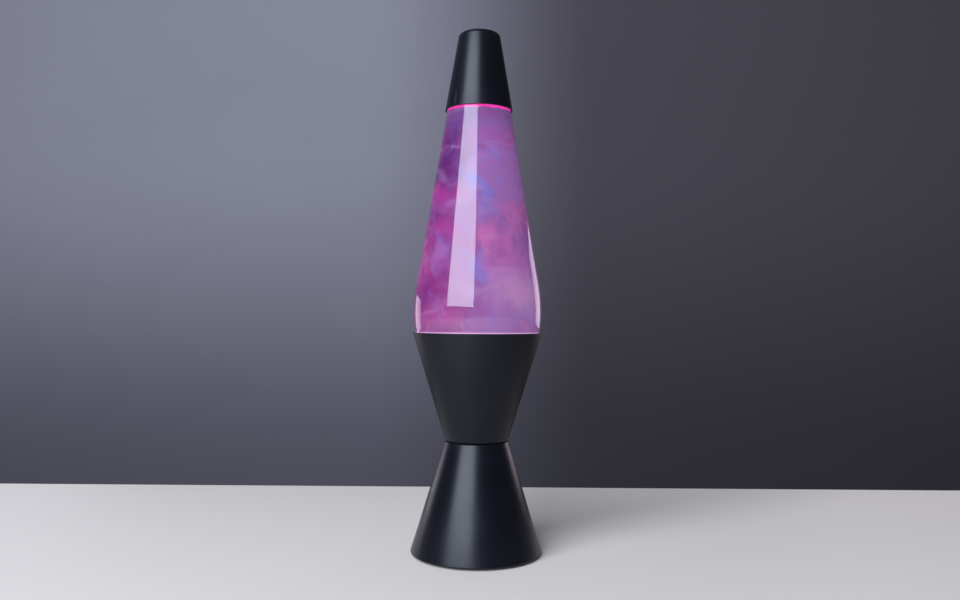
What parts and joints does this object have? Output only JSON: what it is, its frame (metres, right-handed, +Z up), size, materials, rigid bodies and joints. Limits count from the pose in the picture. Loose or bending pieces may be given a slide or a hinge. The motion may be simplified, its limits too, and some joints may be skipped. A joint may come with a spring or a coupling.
{
  "type": "swirling liquid table lamp",
  "caption": "Table lamp: a tapered glass globe of swirling liquid with a black cap stands in a black two-cone metal base with a reflector bulb in its waist.",
  "frame": {"origin": "centre of the underside, level with the face that the feet stand on", "axes": "+Z up along the lamp's axis, +Y towards the back, where the cord enters, +X to the right seen from the front"},
  "size_m": [0.092, 0.092, 0.368],
  "materials": {
    "black_paint": "satin",
    "zinc_steel": "satin",
    "cream_plastic": "satin",
    "brass": "satin",
    "brown_insulation": "satin",
    "blue_insulation": "satin",
    "green_insulation": "satin",
    "black_plastic": "matte",
    "black_rubber": "matte",
    "clear_glass": "gloss",
    "swirling_liquid": "pearlescent",
    "white_liner": "matte",
    "plated_steel": "gloss",
    "bulb_glass": "gloss",
    "bulb_metal": "satin",
    "black_insulator": "gloss",
    "solder": "satin",
    "stem_glass": "gloss",
    "wire_metal": "satin",
    "filament_metal": "matte"
  },
  "bodies": {
    "base": {"lower_cone": "black_paint", "upper_cone": "black_paint", "lamp_bracket": "zinc_steel", "waist_screws": "zinc_steel", "waist_nuts": "zinc_steel", "lampholder_body": "cream_plastic", "lampholder_housing": "cream_plastic", "lampholder_shell": "brass", "lampholder_tongue": "brass", "lampholder_terminals": "brass", "terminal_screws": "zinc_steel", "hollow_screw": "zinc_steel", "star_washer": "zinc_steel", "hollow_screw_nut": "zinc_steel", "live_lead": "brown_insulation", "neutral_lead": "blue_insulation", "earth_lead": "green_insulation", "earth_tag": "zinc_steel", "earth_screw": "brass", "terminal_block": "cream_plastic", "block_tubes": "brass", "block_screws": "zinc_steel", "block_fixing_screw": "zinc_steel", "cord_bushing": "black_plastic", "bottom_cover": "black_plastic", "cover_screws": "zinc_steel", "rubber_foot_1": "black_rubber", "rubber_foot_2": "black_rubber", "rubber_foot_3": "black_rubber", "rubber_foot_4": "black_rubber"},
    "globe": {"globe": "clear_glass", "liquid": "swirling_liquid", "crown_liner": "white_liner", "crown_cap": "plated_steel"},
    "cap": {"top_cap": "black_paint"},
    "bulb_carrier": {"bulb_tip": "solder"},
    "bulb": {"bulb_glass": "bulb_glass", "bulb_screw_cap": "bulb_metal", "bulb_insulator": "black_insulator", "bulb_stem": "stem_glass", "bulb_wires": "wire_metal", "bulb_filament": "filament_metal"}
  },
  "joints": [
    {"name": "globe_lift", "type": "slide", "parent": "base", "child": "globe", "axis": [0, 0, 1], "range_m": [0, 0.11]},
    {"name": "cap_lift", "type": "slide", "parent": "globe", "child": "cap", "axis": [0, 0, 1], "range_m": [0, 0.07]},
    {"name": "bulb_rise", "type": "slide", "parent": "base", "child": "bulb_carrier", "axis": [0, 0, 1], "range_m": [0, 0.00846]},
    {"name": "bulb_turn", "type": "hinge", "parent": "bulb_carrier", "child": "bulb", "pos_m": [0, 0, 0.039], "axis": [0, 0, 1], "range_deg": [0, 1080]}
  ],
  "couplings": [
    {"joint": "bulb_rise", "follows": "bulb_turn", "m_per_rad": 0.00044882}
  ]
}
